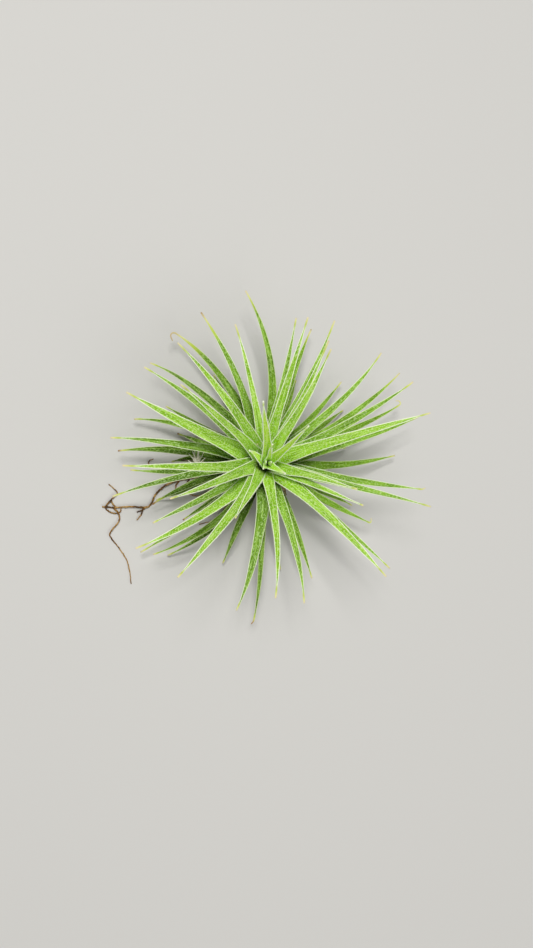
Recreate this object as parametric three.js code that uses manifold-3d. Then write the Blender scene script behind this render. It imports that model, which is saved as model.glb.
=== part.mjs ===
// An air plant: a small rosette with no soil, about 90 mm across its leaf tips.
//
// A short woody stem stands on its flat broken end, with wiry roots that trail over the surface.
// Above it sit a collar of dry old leaves, three tiers of green leaves and the pale young heart.
// Each tier is one fused solid: a slim slice of stem with its leaves sunk into it. The slices
// stand on each other, and the leaves of one tier arch clear over those of the tier below.
//
// Units are millimetres and +Z is up. The origin is the middle of the stem's flat underside.

import * as THREE from 'three';
import { mergeVertices } from 'three/addons/utils/BufferGeometryUtils.js';
import Module from 'manifold-3d';

const wasm = await Module();
wasm.setup();

// ---------------------------------------------------------------- driving dimensions

const GOLDEN_ANGLE = 137.5; // degrees from each leaf to the next one up the stem
const SLICE_SIDES = 12;
const SLICE_TAPER = 0.86;

const STEM_HEIGHT = 4.4;
const STEM_PROFILE = [
  // radius, height: the flat end, then rings left by fallen leaves
  [0, 0],
  [3.3, 0],
  [3.8, 0.9],
  [3.4, 1.9],
  [3.9, 2.8],
  [3.6, 3.5],
  [4.0, STEM_HEIGHT],
  [0, STEM_HEIGHT],
];

// A tier is a slice of stem and the leaves on it.
// slice: the height of its two ends, and its radius at the bottom
// roots: how far from the axis its leaves start, and the heights of the oldest and youngest start
// leans: how far its youngest and its oldest leaves lean from upright
// sheath: the length of a leaf's clasping foot, and its lean as a share of the leaf's own
// blade: stations along a leaf, and its thickness where it starts
const TIERS = {
  dry_leaves: {
    slice: [4.7, 6.7, 4.6], roots: [3.4, 5.5, 5.9], leans: [92, 112], sheath: [5, 0.9], blade: [5, 0.8],
  },
  lower_leaves: {
    slice: [7.0, 9.9, 4.2], roots: [3.2, 7.8, 8.7], leans: [86, 108], sheath: [11, 0.52], blade: [8, 1.2],
  },
  middle_leaves: {
    slice: [10.2, 13.0, 3.4], roots: [2.4, 11.0, 11.6], leans: [68, 84], sheath: [11, 0.52], blade: [8, 1.2],
  },
  upper_leaves: {
    slice: [13.3, 17.0, 2.6], roots: [1.6, 14.1, 15.4], leans: [40, 64], sheath: [11, 0.52], blade: [8, 1.2],
  },
  heart_leaves: {
    slice: [17.3, 20.4, 1.5], roots: [0.5, 18.3, 19.4], leans: [2, 32], sheath: [11, 0.52], blade: [6, 1.1],
  },
};

const BLADE_SIDES = 6;
const FOOT_FLARE = 0.6; // how much wider than the blade its foot is
const FOOT_SHARE = 0.45; // and how far along the leaf that flare runs out
const TAPER_POWER = 2.4; // the higher, the fuller the blade stays before its tip
const BLADE_TIP_WIDTH = 0.6;
const BLADE_TIP_THICKNESS = 0.6;
const BLADE_CHANNEL = 0.2; // how far the margins curl up, as a share of the width

// Where a leaf has arched over: how far along that is, and its lean and bow there as shares of the
// whole leaf's. A short leaf gives no more than a share of its length to its sheath.
const SHOULDER = { along: 0.68, lean: 0.92, bow: 0.45 };
const LONGEST_SHEATH = 0.4;

// Leaves as they grow: compass turn of the tip, lean of the chord from upright, length of the
// chord, bow (how many degrees the leaf swings round on its way out) and width before any flare.
const HEART_LEAVES = [
  [112, 30, 29, -4, 2.5],
  [55, 24, 24, 0, 2.0],
  [105, 17, 14, 0, 1.5],
  [154, 32, 12, 0, 2.3],
  [-46, 18, 11, 0, 2.0],
  [-142, 17, 7, 0, 1.7],
  [169, 8, 7.5, 0, 1.2],
  [-9, -6, 8, 0, 1.2],
];
const UPPER_LEAVES = [
  [80, 54, 41, -4, 2.5],
  [67, 48, 37, 6, 2.5],
  [18, 61, 44, -2, 3.0],
  [-19, 38, 29, 0, 2.3],
  [-47, 58, 43, -8, 3.1],
  [-94, 51, 39, -12, 2.3],
  [-136, 46, 48, -7, 3.0],
  [-150, 62, 43, -15, 3.0],
  [-163, 42, 40, 0, 2.6],
  [181, 56, 43, -6, 2.8],
  [156, 62, 43, -2, 3.6],
  [146, 44, 41, 6, 2.4],
  [133, 55, 43, 12, 2.8],
  [107, 64, 37, 6, 2.1],
  [-128, 40, 24, 0, 2.4],
  [-27, 46, 30, 0, 2.0],
  [68, 54, 37, 4, 2.0],
  [121, 30, 8, 0, 2.0],
];
const MIDDLE_LEAVES = [
  [79, 72, 37, 0, 2.2],
  [66, 67, 40, 4, 2.2],
  [44, 77, 41, 12, 2.4],
  [30, 68, 43, 10, 2.7],
  [-9, 82, 43, 3, 2.6],
  [-15, 72, 44, -1, 2.3],
  [-40, 79, 42, -5, 2.3],
  [-78, 66, 37, -15, 2.5],
  [-103, 76, 37, -15, 3.2],
  [-153, 71, 32, -3, 2.5],
  [-167, 79, 38, 10, 2.4],
  [172, 74, 39, 10, 2.6],
  [144, 70, 39, 8, 2.5],
  [114, 80, 40, 12, 2.5],
];
const LOWER_LEAVES = [
  [97, 84, 43, 28, 2.5],
  [67, 93, 37, -4, 2.4],
  [43, 98, 31, 4, 2.1],
  [33, 88, 44, 12, 2.4],
  [23, 92, 42, 8, 2.4],
  [17, 84, 43, 8, 2.5],
  [4, 97, 38, 9, 2.5],
  [-27, 90, 33, 4, 2.5],
  [-66, 85, 31, -8, 2.4],
  [-92, 91, 40, -6, 2.1],
  [-143, 96, 36, -6, 2.2],
  [-142, 101, 22, 0, 2.2],
  [-142, 86, 34, -26, 2.4],
  [-135, 102, 32, -20, 2.2],
  [-157, 97, 27, 14, 2.3],
  [-178, 85, 31, -8, 2.4],
  [180, 104, 20, 10, 3.4],
  [176, 93, 34, 11, 2.9],
  [159, 106, 20, 0, 2.2],
  [162, 98, 32, 20, 2.3],
  [147, 103, 24, 0, 2.2],
  [140, 86, 36, 22, 2.4],
  [125, 92, 39, 25, 2.5],
  [102, 98, 21, 0, 2.1],
];

// The lowest green leaves, hidden from above: short, drooping and evenly turned. Their lean and
// their length step up from leaf to leaf, and start again after so many leaves.
const LEAN_CYCLE = 5;
const LENGTH_CYCLE = 3;
const UNDER_LEAF_COUNT = 9;
const UNDER_LEAF = { firstTurn: 10, lean: 101, leanStep: 1, length: 24, lengthStep: 2, width: 2.4 };

const DRY_LEAF_COUNT = 13;
const DRY_LEAF = { firstTurn: 178, lean: 94, leanStep: 4, length: 8, lengthStep: 1, width: 4.4 };
// The longer dry leaf whose end frays into a tuft of fibres.
const FRAYED_LEAF = [178, 95, 13, 0, 3.0];

const ROOT_SIDES = 5;
const ROOT_STEP = 1.8; // length of one straight piece of a root
const THICK_ROOT = 0.5; // radii
const THIN_ROOT = 0.38;

// Routes of the roots over the surface: x, y, and height of the middle of the root.
const LONG_ROOT = [
  [-2, -1, 1.8], [-7, -2.6, 1.2], [-13, -3.4, 0.7], [-19, -4.2, 0.6], [-23.6, -5.6, 0.9],
  [-26.6, -8.2, 0.6], [-28.6, -11.6, 0.6], [-33.3, -11.6, 0.9], [-38.2, -11.8, 0.6], [-41, -11.6, 0.6],
];
const FORKED_ROOT = [
  [-38.4, -11.7, 0.6], [-36.7, -13.4, 0.6], [-36.6, -15.6, 0.6], [-39, -19, 0.8],
  [-36.8, -22.4, 0.5], [-34.2, -26.8, 0.5], [-33.3, -32.5, 0.5],
];
const CURLED_ROOT = [[-37.6, -11.6, 0.6], [-38.6, -9.8, 0.7], [-37, -7.8, 0.8], [-39.3, -5.6, 0.5]];
const BENT_ROOT = [
  [-1.4, -2.4, 1.6], [-5, -8, 0.9], [-8, -12.8, 0.6], [-10.4, -15.4, 0.6], [-14.8, -16.6, 0.5],
];
const SIDE_ROOT = [
  [-2.2, -1.8, 1.4], [-7, -4.8, 0.9], [-12.2, -7.6, 0.5], [-15, -8.8, 0.5], [-18, -8.2, 0.5],
];
const BACK_ROOT = [
  [-2.5, 0, 1.8], [-9, -0.3, 0.9], [-17, -0.6, 0.6], [-25, -0.7, 0.6], [-28.4, -0.2, 0.6],
  [-28.4, 0.8, 0.7], [-27.3, 1.3, 0.9],
];
const LOOPED_ROOT = [
  [-38.6, -9.8, 0.7], [-39.8, -11.1, 0.6], [-40.1, -12, 0.5], [-39.1, -12.9, 0.5], [-37.7, -13.4, 0.5],
  [-36.2, -13, 0.5], [-36, -11.8, 0.5],
];
const ROOTLETS = [
  [[-20, -4.3, 0.6], [-21.2, -6, 0.5], [-21, -8, 0.5]],
  [[-17.4, -4, 0.6], [-18.2, -5.4, 0.5], [-18.3, -6.8, 0.5]],
  [[-29, -11.6, 0.6], [-30.4, -12.6, 0.5], [-31.8, -13.1, 0.5]],
  [[-30.2, -12.4, 0.5], [-30.6, -13.8, 0.5], [-31.8, -15.3, 0.5]],
];
// Short roots under the leaves on the other sides, which sway as they run down to the surface.
const HIDDEN_ROOT_COUNT = 4;
const HIDDEN_ROOT_SPANS = 4;
const HIDDEN_ROOT = { firstTurn: 150, turnStep: -62, start: 2, length: 16, sway: 2.2, wave: 1.4 };
const HIDDEN_ROOT_HEIGHTS = [1.5, 0.5];

const COLOURS = {
  stem_with_roots: { color: 0x5a3d26, roughness: 0.85 },
  dry_leaves: { color: 0xb09a76, roughness: 0.8 },
  lower_leaves: { color: 0x5d8a3e, roughness: 0.6 },
  middle_leaves: { color: 0x79a94a, roughness: 0.6 },
  upper_leaves: { color: 0x95c25a, roughness: 0.6 },
  heart_leaves: { color: 0xc4dc8c, roughness: 0.6 },
};

// ---------------------------------------------------------------- solids

// A closed three.js geometry as a solid that can be joined to others.
function toSolid(geometry) {
  const bare = geometry.clone();
  bare.deleteAttribute('normal');
  bare.deleteAttribute('uv');
  const merged = mergeVertices(bare, 1e-4);
  const mesh = new wasm.Mesh({
    numProp: 3,
    vertProperties: new Float32Array(merged.attributes.position.array),
    triVerts: new Uint32Array(merged.index.array),
  });
  return new wasm.Manifold(mesh);
}

function toGeometry(solid) {
  const mesh = solid.getMesh();
  const geometry = new THREE.BufferGeometry();
  geometry.setAttribute('position', new THREE.BufferAttribute(mesh.vertProperties, 3));
  geometry.setIndex(new THREE.BufferAttribute(mesh.triVerts, 1));
  geometry.computeVertexNormals();
  return geometry;
}

// Join pieces into one body. Loose scraps are dropped, and a hollow that joining sealed is filled.
function fuse(geometries) {
  const solids = geometries.map(toSolid);
  const joined = solids.reduce((whole, piece) => whole.add(piece));
  const bodies = joined.decompose();
  bodies.sort((a, b) => b.volume() - a.volume());
  return toGeometry(bodies[0]);
}

function makeNode(name, geometries) {
  const material = new THREE.MeshStandardMaterial({ metalness: 0, ...COLOURS[name] });
  const mesh = new THREE.Mesh(fuse(geometries), material);
  mesh.name = name;
  return mesh;
}

// ---------------------------------------------------------------- leaves

function direction(leanDegrees, turnDegrees) {
  const lean = THREE.MathUtils.degToRad(leanDegrees);
  const turn = THREE.MathUtils.degToRad(turnDegrees);
  const out = Math.sin(lean);
  return new THREE.Vector3(out * Math.cos(turn), out * Math.sin(turn), Math.cos(lean));
}

// The older a leaf is, the more it leans and the lower on its slice of stem it starts.
function rootPoint(tier, lean, turn) {
  const [radius, oldestHeight, youngestHeight] = tier.roots;
  const [youngestLean, oldestLean] = tier.leans;
  const age = THREE.MathUtils.clamp((lean - youngestLean) / (oldestLean - youngestLean), 0, 1);
  const point = direction(90, turn).multiplyScalar(radius);
  point.z = THREE.MathUtils.lerp(youngestHeight, oldestHeight, age);
  return point;
}

// Middle line of a leaf: up its sheath, then arching over to the tip.
function leafCurve(tier, [turn, lean, length, bow]) {
  const start = turn - bow;
  const root = rootPoint(tier, lean, start);
  const [sheathLength, sheathLean] = tier.sheath;
  const sheath = Math.min(sheathLength, LONGEST_SHEATH * length);
  const afterSheath = root.clone().addScaledVector(direction(sheathLean * lean, start), sheath);
  const overShoulder = direction(SHOULDER.lean * lean, turn - SHOULDER.bow * bow);
  const shoulder = root.clone().addScaledVector(overShoulder, SHOULDER.along * length);
  const tip = root.clone().addScaledVector(direction(lean, turn), length);
  return new THREE.CubicBezierCurve3(root, afterSheath, shoulder, tip);
}

// Widest at the clasping foot, then a long taper to a narrow tip.
function bladeWidth(along, width) {
  const foot = 1 + FOOT_FLARE * Math.max(0, 1 - along / FOOT_SHARE);
  return Math.max(BLADE_TIP_WIDTH, width * foot * (1 - along ** TAPER_POWER));
}

// A leaf is a six-sided rod bent along its middle line, flattened, and curled up at both margins.
function leafGeometry(tier, leaf) {
  const curve = leafCurve(tier, leaf);
  const width = leaf[4];
  const [stations, thickness] = tier.blade;
  const rod = new THREE.CylinderGeometry(1, 1, 1, BLADE_SIDES, stations);
  const points = rod.attributes.position;
  const vertex = new THREE.Vector3();
  for (let index = 0; index < points.count; index += 1) {
    vertex.fromBufferAttribute(points, index);
    const along = THREE.MathUtils.clamp(0.5 + vertex.y, 0, 1);
    const ahead = curve.getTangent(along);
    const across = new THREE.Vector3(0, 0, 1).cross(ahead).normalize();
    const upper = ahead.clone().cross(across);
    const fullWidth = bladeWidth(along, width);
    const halfThickness = 0.5 * THREE.MathUtils.lerp(thickness, BLADE_TIP_THICKNESS, along);
    const rise = halfThickness * vertex.x + BLADE_CHANNEL * fullWidth * vertex.z ** 2;
    const place = curve.getPoint(along);
    place.addScaledVector(across, 0.5 * fullWidth * vertex.z);
    place.addScaledVector(upper, rise);
    points.setXYZ(index, place.x, place.y, place.z);
  }
  return rod;
}

function sliceGeometry([bottom, top, radius]) {
  const slice = new THREE.CylinderGeometry(SLICE_TAPER * radius, radius, top - bottom, SLICE_SIDES);
  slice.rotateX(Math.PI / 2);
  slice.translate(0, 0, (bottom + top) / 2);
  return slice;
}

function leafTier(name, leaves) {
  const tier = TIERS[name];
  const blades = leaves.map((leaf) => leafGeometry(tier, leaf));
  return makeNode(name, [sliceGeometry(tier.slice), ...blades]);
}

// Leaves that nobody sees from above follow the stem's own spiral.
function spiralLeaves(count, { firstTurn, lean, leanStep, length, lengthStep, width }) {
  const leaves = [];
  for (let index = 0; index < count; index += 1) {
    const turn = firstTurn + index * GOLDEN_ANGLE;
    const leanHere = lean + (index % LEAN_CYCLE) * leanStep;
    const lengthHere = length + (index % LENGTH_CYCLE) * lengthStep;
    leaves.push([turn, leanHere, lengthHere, 0, width]);
  }
  return leaves;
}

// ---------------------------------------------------------------- stem and roots

function stemGeometry() {
  const profile = STEM_PROFILE.map(([radius, height]) => new THREE.Vector2(radius, height));
  const stem = new THREE.LatheGeometry(profile, SLICE_SIDES);
  stem.rotateX(Math.PI / 2);
  return stem;
}

function rootGeometry(route, radius) {
  const path = new THREE.CatmullRomCurve3(route.map((point) => new THREE.Vector3(...point)));
  const section = new THREE.Shape();
  for (let side = 0; side < ROOT_SIDES; side += 1) {
    const angle = (side / ROOT_SIDES) * 2 * Math.PI;
    const corner = [radius * Math.cos(angle), radius * Math.sin(angle)];
    if (side === 0) section.moveTo(...corner);
    else section.lineTo(...corner);
  }
  section.closePath();
  const steps = Math.ceil(path.getLength() / ROOT_STEP);
  return new THREE.ExtrudeGeometry(section, { steps, extrudePath: path });
}

function hiddenRoot(index) {
  const { firstTurn, turnStep, start, length, sway, wave } = HIDDEN_ROOT;
  const turn = firstTurn + index * turnStep;
  const outward = direction(90, turn);
  const aside = direction(90, turn + 90);
  const route = [];
  for (let step = 0; step <= HIDDEN_ROOT_SPANS; step += 1) {
    const share = step / HIDDEN_ROOT_SPANS;
    const point = outward.clone().multiplyScalar(start + length * share);
    point.addScaledVector(aside, sway * Math.sin(step * wave + index));
    route.push([point.x, point.y, THREE.MathUtils.lerp(...HIDDEN_ROOT_HEIGHTS, share)]);
  }
  return rootGeometry(route, THIN_ROOT);
}

function stemWithRoots() {
  const roots = [
    rootGeometry(LONG_ROOT, THICK_ROOT),
    rootGeometry(FORKED_ROOT, THIN_ROOT),
    rootGeometry(CURLED_ROOT, THIN_ROOT),
    rootGeometry(BENT_ROOT, THIN_ROOT),
    rootGeometry(SIDE_ROOT, THIN_ROOT),
    rootGeometry(BACK_ROOT, THIN_ROOT),
    rootGeometry(LOOPED_ROOT, THIN_ROOT),
    ...ROOTLETS.map((route) => rootGeometry(route, THIN_ROOT)),
  ];
  for (let index = 0; index < HIDDEN_ROOT_COUNT; index += 1) roots.push(hiddenRoot(index));
  return makeNode('stem_with_roots', [stemGeometry(), ...roots]);
}

// ---------------------------------------------------------------- the plant

const plant = new THREE.Group();
plant.add(stemWithRoots());
plant.add(leafTier('dry_leaves', [...spiralLeaves(DRY_LEAF_COUNT, DRY_LEAF), FRAYED_LEAF]));
plant.add(leafTier('lower_leaves', [...LOWER_LEAVES, ...spiralLeaves(UNDER_LEAF_COUNT, UNDER_LEAF)]));
plant.add(leafTier('middle_leaves', MIDDLE_LEAVES));
plant.add(leafTier('upper_leaves', UPPER_LEAVES));
plant.add(leafTier('heart_leaves', HEART_LEAVES));

export default plant;
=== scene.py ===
# %% [markdown]
# # Dressing a small air plant
#
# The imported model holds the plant's form: a stem stub with roots, dry old leaves, three tiers of
# green leaves and a pale heart, each with few faces. This lesson rebuilds each of them as a finer
# mesh on the same lines, and gives it the finish of the living thing. Everything is in metres, in
# the model's own frame: +Z runs up the stem and z = 0 is the surface that the plant stands on.

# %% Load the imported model
import math
from collections import namedtuple

import bpy
import numpy as np
from mathutils import Matrix, Vector


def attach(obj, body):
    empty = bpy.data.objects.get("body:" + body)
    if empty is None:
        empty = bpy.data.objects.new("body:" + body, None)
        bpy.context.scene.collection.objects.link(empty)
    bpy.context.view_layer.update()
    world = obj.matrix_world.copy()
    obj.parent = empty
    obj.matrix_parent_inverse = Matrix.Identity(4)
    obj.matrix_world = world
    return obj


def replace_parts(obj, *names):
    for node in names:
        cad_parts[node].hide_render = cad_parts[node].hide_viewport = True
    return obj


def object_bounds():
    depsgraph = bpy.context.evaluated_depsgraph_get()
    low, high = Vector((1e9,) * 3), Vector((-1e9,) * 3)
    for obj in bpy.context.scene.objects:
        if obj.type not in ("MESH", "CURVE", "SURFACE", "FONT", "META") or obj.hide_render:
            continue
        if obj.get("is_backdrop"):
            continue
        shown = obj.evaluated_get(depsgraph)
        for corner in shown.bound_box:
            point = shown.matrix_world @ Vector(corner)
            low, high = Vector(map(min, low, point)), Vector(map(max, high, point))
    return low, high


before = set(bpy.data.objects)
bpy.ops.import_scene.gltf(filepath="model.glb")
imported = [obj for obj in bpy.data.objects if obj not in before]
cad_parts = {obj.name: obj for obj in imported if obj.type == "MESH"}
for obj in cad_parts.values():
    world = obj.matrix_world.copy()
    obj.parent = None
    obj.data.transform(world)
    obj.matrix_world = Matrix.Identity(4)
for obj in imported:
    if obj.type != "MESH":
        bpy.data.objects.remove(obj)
cad_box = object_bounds()
MM = 0.001
print("packed nodes:", sorted(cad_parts))

# %% [markdown]
# ## The leaf plan
#
# A rosette grows one leaf at a time up a very short stem, so each leaf is told by a few numbers:
# which way its tip points, how far it leans from upright, how long it is, how far it swings round
# on its way out (its bow) and how wide it is. The rows repeat the ones that the solids were made
# from, so the fine leaves lie where the plain ones do. What follows them tells of the tip: the
# share of the leaf that has turned yellow and dry, whether its end is brown, and for a few leaves
# the thread that it ends in, with the degrees that the thread curls and its length.

# %% Rows of the leaf plan
PLAIN_TIP = (0.07, 0, 0, 0)  # dry, brown, curl and thread of a leaf whose row doesn't say
Leaf = namedtuple("Leaf", "turn lean length bow width dry brown curl thread", defaults=PLAIN_TIP)
HEART_LEAVES = [
    (112, 30, 29, -4, 2.5, 0.08),
    (55, 24, 24, 0, 2.0, 0.12),
    (105, 17, 14, 0, 1.5, 0.20),
    (154, 32, 12, 0, 2.3, 0.35),
    (-46, 18, 11, 0, 2.0, 0.45),
    (-142, 17, 7, 0, 1.7, 0.70),
    (169, 8, 7.5, 0, 1.2, 0.60),
    (-9, -6, 8, 0, 1.2, 0.60),
]
UPPER_LEAVES = [
    (80, 54, 41, -4, 2.5, 0.08, 0.4),
    (67, 48, 37, 6, 2.5, 0.10),
    (18, 61, 44, -2, 3.0, 0.08),
    (-19, 38, 29, 0, 2.3, 0.07),
    (-47, 58, 43, -8, 3.1, 0.09),
    (-94, 51, 39, -12, 2.3, 0.10),
    (-136, 46, 48, -7, 3.0, 0.06),
    (-150, 62, 43, -15, 3.0, 0.10),
    (-163, 42, 40, 0, 2.6, 0.08),
    (181, 56, 43, -6, 2.8, 0.10),
    (156, 62, 43, -2, 3.6, 0.09),
    (146, 44, 41, 6, 2.4, 0.10),
    (133, 55, 43, 12, 2.8, 0.10),
    (107, 64, 37, 6, 2.1, 0.12),
    (-128, 40, 24, 0, 2.4, 0.05),
    (-27, 46, 30, 0, 2.0, 0.04),
    (68, 54, 37, 4, 2.0, 0.14, 0.7),
    (121, 30, 8, 0, 2.0, 0.05),
]
MIDDLE_LEAVES = [
    (79, 72, 37, 0, 2.2, 0.08, 0.3),
    (66, 67, 40, 4, 2.2, 0.14),
    (44, 77, 41, 12, 2.4, 0.10),
    (30, 68, 43, 10, 2.7, 0.09),
    (-9, 82, 43, 3, 2.6, 0.07, 0.6, 30, 1.5),
    (-15, 72, 44, -1, 2.3, 0.08, 0.3),
    (-40, 79, 42, -5, 2.3, 0.07),
    (-78, 66, 37, -15, 2.5, 0.09),
    (-103, 76, 37, -15, 3.2, 0.07),
    (-153, 71, 32, -3, 2.5, 0.06),
    (-167, 79, 38, 10, 2.4, 0.10),
    (172, 74, 39, 10, 2.6, 0.08),
    (144, 70, 39, 8, 2.5, 0.08),
    (114, 80, 40, 12, 2.5, 0.22, 0.8),
]
LOWER_LEAVES = [
    (97, 84, 43, 28, 2.5, 0.14, 0.5),
    (67, 93, 37, -4, 2.4, 0.16, 0.7),
    (43, 98, 31, 4, 2.1, 0.13, 0.3),
    (33, 88, 44, 12, 2.4, 0.16),
    (23, 92, 42, 8, 2.4, 0.10, 0, 150, 2.2),
    (17, 84, 43, 8, 2.5, 0.07),
    (4, 97, 38, 9, 2.5, 0.08, 0.6),
    (-27, 90, 33, 4, 2.5, 0.06, 0, 120, 2.0),
    (-66, 85, 31, -8, 2.4, 0.08, 0.6),
    (-92, 91, 40, -6, 2.1, 0.09, 1, -30, 1.5),
    (-143, 96, 36, -6, 2.2, 0.10),
    (-142, 101, 22, 0, 2.2, 0.10, 1),
    (-142, 86, 34, -26, 2.4, 0.05),
    (-135, 102, 32, -20, 2.2, 0.08),
    (-157, 97, 27, 14, 2.3, 0.16, 1),
    (-178, 85, 31, -8, 2.4, 0.08, 0.4),
    (180, 104, 20, 10, 3.4, 0.06),
    (176, 93, 34, 11, 2.9, 0.10, 0.9),
    (159, 106, 20, 0, 2.2, 0.10, 1),
    (162, 98, 32, 20, 2.3, 0.08),
    (147, 103, 24, 0, 2.2, 0.08),
    (140, 86, 36, 22, 2.4, 0.08),
    (125, 92, 39, 25, 2.5, 0.26, 0.8, 150, 3.3),
    (102, 98, 21, 0, 2.1, 0.08),
]
GOLDEN_ANGLE = 137.5  # degrees from each leaf to the next one up the stem
LEAN_CYCLE = 5  # leaves after which the lean of the hidden leaves starts again
LENGTH_CYCLE = 3


def spiral_leaves(count, first_turn, lean, lean_step, length, length_step, width):
    """Leaves that nobody sees from above, on the stem's own spiral."""
    rows = []
    for i in range(count):
        turn = first_turn + i * GOLDEN_ANGLE
        here = lean + (i % LEAN_CYCLE) * lean_step, length + (i % LENGTH_CYCLE) * length_step
        rows.append((turn, *here, 0, width))
    return rows


UNDER_LEAVES = spiral_leaves(
    count=9, first_turn=10, lean=101, lean_step=1, length=24, length_step=2, width=2.4
)
DRY_SPIRAL = spiral_leaves(
    count=13, first_turn=178, lean=94, lean_step=4, length=8, length_step=1, width=4.4
)
FRAYED_LEAF = (178, 95, 13, 0, 3.0)  # the tuft of fibres stands on its end
DRY_LEAVES = DRY_SPIRAL + [FRAYED_LEAF]
print("green leaves:", len(HEART_LEAVES + UPPER_LEAVES + MIDDLE_LEAVES + LOWER_LEAVES + UNDER_LEAVES))
print("dry leaves:", len(DRY_LEAVES))

# %% [markdown]
# ## From a row to a curve
#
# The leaves start on slices of the stem, the oldest lowest. A leaf first rises steeply, in its
# clasping sheath, and then arches over. A cubic curve does that with one handle at the end of
# the sheath and one at the shoulder, and needs no more numbers than the row holds.

# %% Where each tier grows, in millimetres and degrees
# slice: its two heights and its radius; roots: distance out, oldest and youngest height;
# leans: youngest and oldest; sheath: length, and its lean as a share of the leaf's own;
# thick: the blade's thickness at its foot
TIERS = {
    "dry_leaves": dict(
        slice=(4.7, 6.7, 4.6), roots=(3.4, 5.5, 5.9), leans=(92, 112), sheath=(5, 0.9), thick=0.8
    ),
    "lower_leaves": dict(
        slice=(7.0, 9.9, 4.2), roots=(3.2, 7.8, 8.7), leans=(86, 108), sheath=(11, 0.52), thick=1.2
    ),
    "middle_leaves": dict(
        slice=(10.2, 13.0, 3.4), roots=(2.4, 11.0, 11.6), leans=(68, 84), sheath=(11, 0.52), thick=1.2
    ),
    "upper_leaves": dict(
        slice=(13.3, 17.0, 2.6), roots=(1.6, 14.1, 15.4), leans=(40, 64), sheath=(11, 0.52), thick=1.2
    ),
    "heart_leaves": dict(
        slice=(17.3, 20.4, 1.5), roots=(0.5, 18.3, 19.4), leans=(2, 32), sheath=(11, 0.52), thick=1.1
    ),
}
SHOULDER = dict(along=0.68, lean=0.92, bow=0.45)  # shares of the whole leaf's
LONGEST_SHEATH = 0.4  # share of a short leaf's length
for node, tier in TIERS.items():
    print(node, "grow from", tier["slice"][0], "to", tier["slice"][1], "mm up the stem")


# %% From a leaf's row to the four points that its middle line bends by
def direction(lean, turn):
    """Unit vector that leans from upright towards a compass turn, both in degrees."""
    lean, turn = math.radians(lean), math.radians(turn)
    return np.array([math.sin(lean) * math.cos(turn), math.sin(lean) * math.sin(turn), math.cos(lean)])


def unit(vectors):
    return vectors / np.linalg.norm(vectors, axis=-1, keepdims=True)


def leaf_handles(tier, leaf):
    """The four points of a leaf's middle line."""
    distance, oldest_height, youngest_height = tier["roots"]
    youngest_lean, oldest_lean = tier["leans"]
    age = min(1, max(0, (leaf.lean - youngest_lean) / (oldest_lean - youngest_lean)))
    start = leaf.turn - leaf.bow
    root = direction(90, start) * distance
    root[2] = youngest_height + (oldest_height - youngest_height) * age
    sheath, sheath_lean = tier["sheath"]
    sheath = min(sheath, LONGEST_SHEATH * leaf.length)
    after_sheath = root + sheath * direction(sheath_lean * leaf.lean, start)
    over = direction(SHOULDER["lean"] * leaf.lean, leaf.turn - SHOULDER["bow"] * leaf.bow)
    shoulder = root + SHOULDER["along"] * leaf.length * over
    tip = root + leaf.length * direction(leaf.lean, leaf.turn)
    return root, after_sheath, shoulder, tip


right_leaf = Leaf(*UPPER_LEAVES[2])
print("a leaf on the right ends at", leaf_handles(TIERS["upper_leaves"], right_leaf)[3].round(1), "mm")

# %% The middle line, and the curled thread that some leaves end in
STATIONS = 48  # points along a blade
THREAD_STATIONS = 14
THREAD_START = 0.97  # share of the leaf that is blade where a thread follows
CURL_DONE = 0.8  # share of the thread, after which it runs straight


def middle_line(tier, leaf):
    """Points along a leaf, and how far along the blade each is, from 0 to 1."""
    s = np.linspace(0, THREAD_START if leaf.thread else 1, STATIONS)
    a, b, c, d = leaf_handles(tier, leaf)
    t = s[:, None]
    points = (1 - t) ** 3 * a + 3 * t * (1 - t) ** 2 * b + 3 * t * t * (1 - t) * c + t**3 * d
    if leaf.thread:
        ahead = unit(points[-1] - points[-2])
        side = unit(np.cross([0, 0, 1], ahead))
        for k in range(1, THREAD_STATIONS + 1):
            share = min(1, k / (CURL_DONE * THREAD_STATIONS))
            turned = math.radians(leaf.curl) * share * share * (3 - 2 * share)
            heading = math.cos(turned) * ahead + math.sin(turned) * side
            points = np.vstack([points, points[-1] + leaf.thread / THREAD_STATIONS * heading])
        s = np.append(s, np.linspace(THREAD_START, 1, THREAD_STATIONS))
    return points, s


print("a leaf's middle line has", len(middle_line(TIERS["upper_leaves"], right_leaf)[0]), "points")

# %% [markdown]
# ## A blade
#
# A blade is widest where it clasps the stem and tapers slowly to a narrow tip. Its section is a
# lens bent into a channel, which carries water down to the heart. A ring of points round that
# section, repeated along the middle line, makes a closed mesh. Extruding a flat strip would be
# simpler, but its margins would be blunt, and the light on a margin is half of the look of this
# plant. Each point also keeps where on the leaf it lies, and the finish reads that later.

# %% Faces round a stack of rings
RING = 20  # points round a blade
CHANNEL = 0.2  # how far the margins curl up, as a share of the width


def ring_faces(stations, ring):
    """Quads between rings, and a fan over each end whose middle point comes after all the rings."""
    faces = []
    for i in range(stations - 1):
        for k in range(ring):
            a, b = i * ring + k, i * ring + (k + 1) % ring
            faces.append((a, b, b + ring, a + ring))
    first, last = stations * ring, stations * ring + 1
    top = (stations - 1) * ring
    for k in range(ring):
        faces.append((first, (k + 1) % ring, k))
        faces.append((last, top + k, top + (k + 1) % ring))
    return faces


print("a blade has", len(ring_faces(STATIONS, RING)), "faces")

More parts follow.
